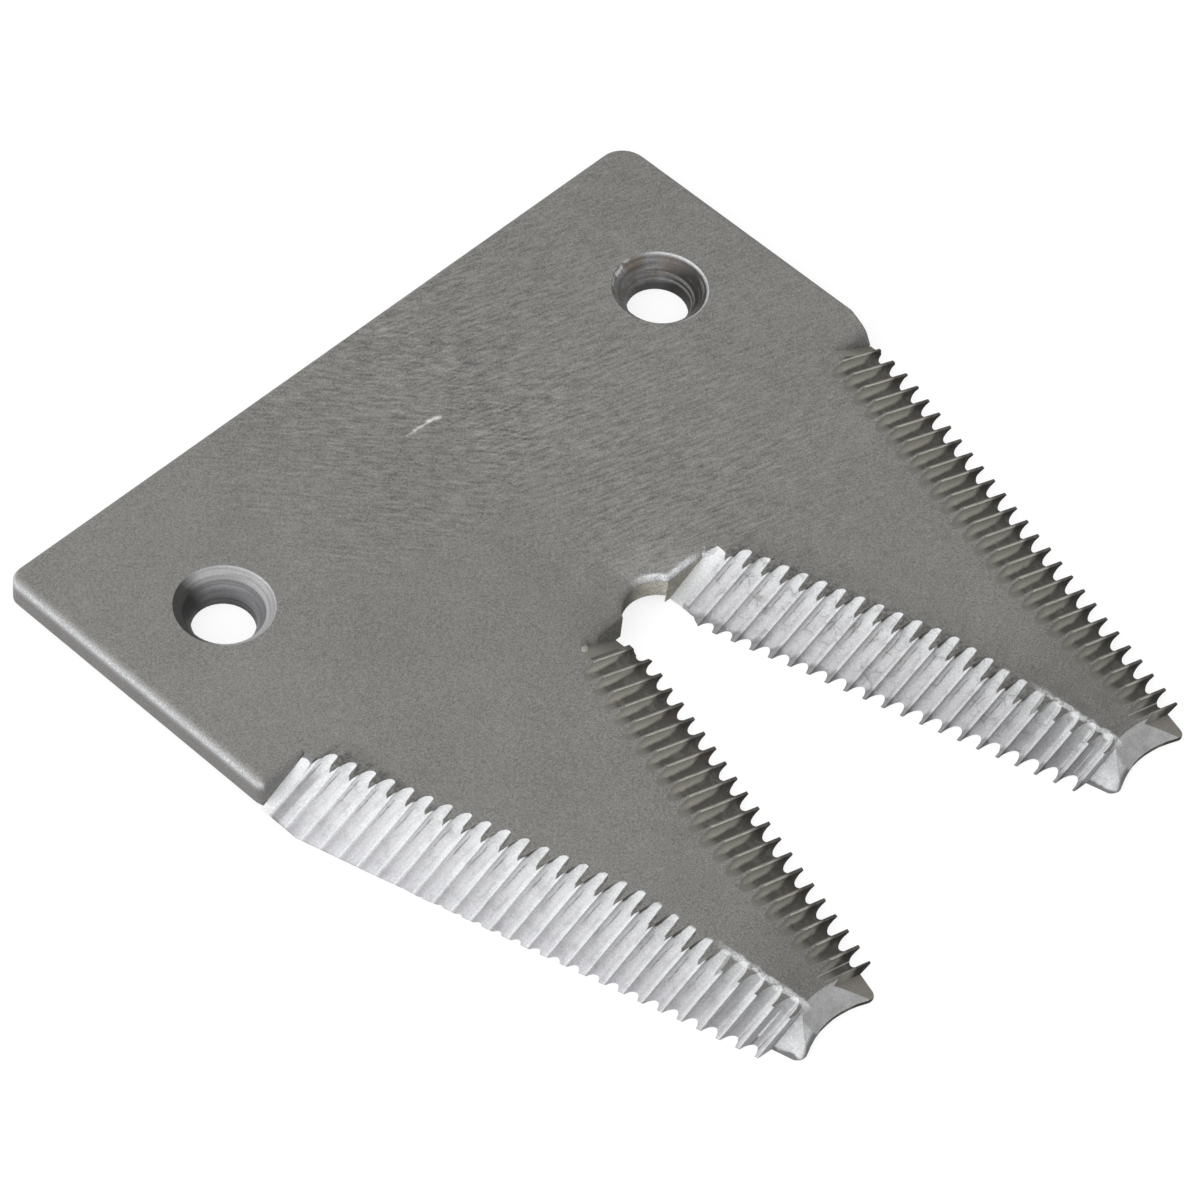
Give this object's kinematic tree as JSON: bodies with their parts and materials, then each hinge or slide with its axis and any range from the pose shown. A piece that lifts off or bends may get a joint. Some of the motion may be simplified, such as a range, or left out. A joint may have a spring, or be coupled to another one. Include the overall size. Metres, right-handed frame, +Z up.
{
  "type": "sickle section",
  "caption": "Flat steel knife section with two serrated bevelled fingers either side of a deep gap and countersunk rivet holes in the head.",
  "frame": {"origin": "midway between the two rivet holes, on the flat underside", "axes": "+X along the line of the rivet holes, +Y towards the straight back edge, so the fingers point along -Y, +Z up through the bevelled side"},
  "size_m": [0.0762, 0.0789, 0.0032],
  "materials": {
    "steel": "matte grey with a fine sand-like grain, lighter on the ground bevels"
  },
  "bodies": {
    "root": {"sickle_section": "steel"}
  },
  "joints": []
}
